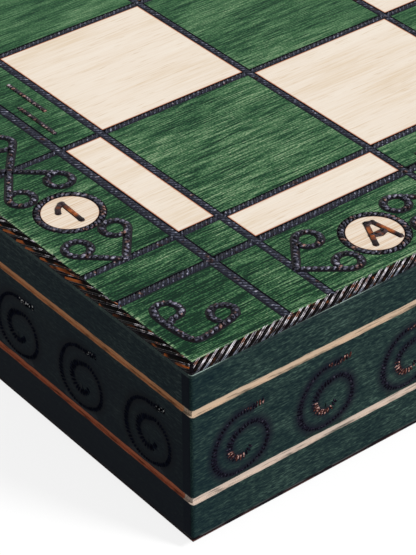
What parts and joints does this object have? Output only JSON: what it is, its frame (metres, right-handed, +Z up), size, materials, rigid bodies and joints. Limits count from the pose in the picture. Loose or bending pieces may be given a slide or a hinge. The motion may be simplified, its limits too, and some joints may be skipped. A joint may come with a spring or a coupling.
{
  "type": "folding chessboard",
  "caption": "Wooden chessboard made of two shallow trays hinged along the middle, which folds into a flat box held shut by hooks on its front.",
  "frame": {"origin": "under the middle of the open board, on the surface that the hinge barrels touch", "axes": "+Z up out of the playing surface, +X along the ranks from the player's left to right, +Y along the files away from the player at the near edge"},
  "size_m": [0.41, 0.4146, 0.047],
  "materials": {
    "playing_wood": "satin varnish",
    "rail_wood": "satin varnish",
    "felt": "napped",
    "brass": "plain"
  },
  "bodies": {
    "near_half": {"near_panel": "playing_wood", "front_rail": "rail_wood", "near_hinge_rail": "rail_wood", "near_left_rail": "rail_wood", "near_right_rail": "rail_wood", "near_felt": "felt", "left_hinge_near_leaf": "brass", "right_hinge_near_leaf": "brass", "left_hinge_pin": "brass", "right_hinge_pin": "brass", "left_hinge_near_screw_a": "brass", "left_hinge_near_screw_b": "brass", "right_hinge_near_screw_a": "brass", "right_hinge_near_screw_b": "brass", "left_hook_screw": "brass", "right_hook_screw": "brass"},
    "far_half": {"far_panel": "playing_wood", "back_rail": "rail_wood", "far_hinge_rail": "rail_wood", "far_left_rail": "rail_wood", "far_right_rail": "rail_wood", "far_felt": "felt", "left_hinge_far_leaf": "brass", "right_hinge_far_leaf": "brass", "left_hinge_far_screw_a": "brass", "left_hinge_far_screw_b": "brass", "right_hinge_far_screw_a": "brass", "right_hinge_far_screw_b": "brass", "left_stud": "brass", "right_stud": "brass"},
    "left_hook": {"left_hook": "brass"},
    "right_hook": {"right_hook": "brass"}
  },
  "joints": [
    {"name": "fold", "type": "hinge", "parent": "near_half", "child": "far_half", "pos_m": [0, 0, 0.0016], "axis": [-1, 0, 0], "range_deg": [0, 180]},
    {"name": "left_hook_swing", "type": "hinge", "parent": "near_half", "child": "left_hook", "pos_m": [-0.095, -0.2057, 0.00775], "axis": [0, 1, 0], "range_deg": [0, 90]},
    {"name": "right_hook_swing", "type": "hinge", "parent": "near_half", "child": "right_hook", "pos_m": [0.095, -0.2057, 0.00775], "axis": [0, -1, 0], "range_deg": [0, 90]}
  ]
}
